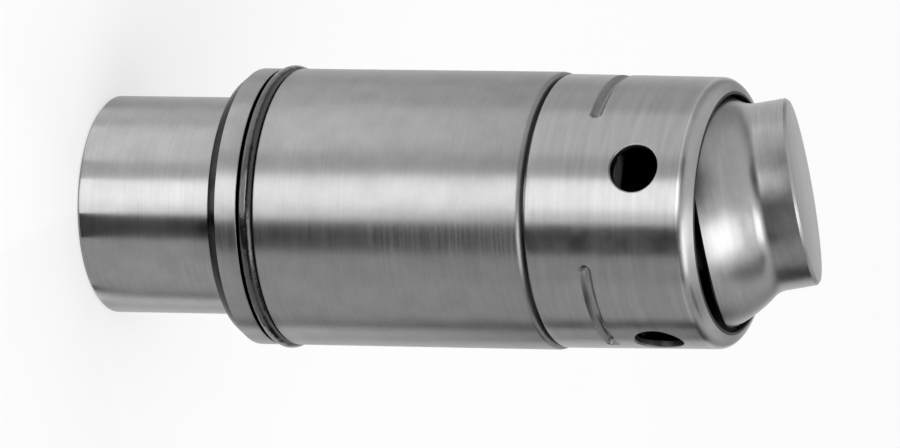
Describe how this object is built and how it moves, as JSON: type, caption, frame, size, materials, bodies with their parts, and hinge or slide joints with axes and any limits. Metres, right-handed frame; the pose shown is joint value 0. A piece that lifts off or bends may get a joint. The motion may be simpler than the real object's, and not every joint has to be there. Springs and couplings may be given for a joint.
{
  "type": "hydraulic valve lifter",
  "caption": "Valve lifter for the end of a rocker arm: ground housing with O-ring, spring-loaded plunger with ball valve, and a swivelling foot under a thin steel cap.",
  "frame": {"origin": "centre of the plunger's flat end face, on the lifter's axis, where the part stands", "axes": "+Z along the lifter's axis from the plunger to the foot; X and Y through the four holes of the cap"},
  "size_m": [0.0184, 0.0184, 0.0487],
  "materials": {
    "housing_steel": "ground",
    "ring_rubber": "gloss",
    "plunger_steel": "ground",
    "spring_steel": "satin",
    "ball_steel": "polished",
    "cage_steel": "satin",
    "cap_steel": "satin",
    "foot_steel": "polished"
  },
  "bodies": {
    "housing": {"housing": "housing_steel", "o_ring": "ring_rubber", "plunger_retaining_ring": "spring_steel", "return_spring": "spring_steel"},
    "plunger": {"outer_plunger": "plunger_steel", "inner_plunger": "plunger_steel", "check_ball_cage": "cage_steel", "check_ball_spring": "spring_steel"},
    "check_ball": {"check_ball": "ball_steel"},
    "cap": {"retaining_cap": "cap_steel"},
    "foot": {"swivel_foot": "foot_steel"}
  },
  "joints": [
    {"name": "plunger_slide", "type": "slide", "parent": "housing", "child": "plunger", "axis": [0, 0, 1], "range_m": [0, 0.003], "stiffness_N_per_m": 3700, "springref_m": -0.0027, "deforming": ["return_spring"]},
    {"name": "check_ball_lift", "type": "slide", "parent": "plunger", "child": "check_ball", "axis": [0, 0, 1], "range_m": [0, 0.0003], "stiffness_N_per_m": 100, "springref_m": -0.001, "deforming": ["check_ball_spring"]},
    {"name": "cap_turn", "type": "hinge", "parent": "housing", "child": "cap", "pos_m": [0, 0, 0.03917], "axis": [0, 0, 1], "continuous": true},
    {"name": "foot_tilt", "type": "hinge", "parent": "cap", "child": "foot", "pos_m": [0, 0, 0.03917], "axis": [0.5344, 0.8453, 0], "range_deg": [0, 34]}
  ]
}
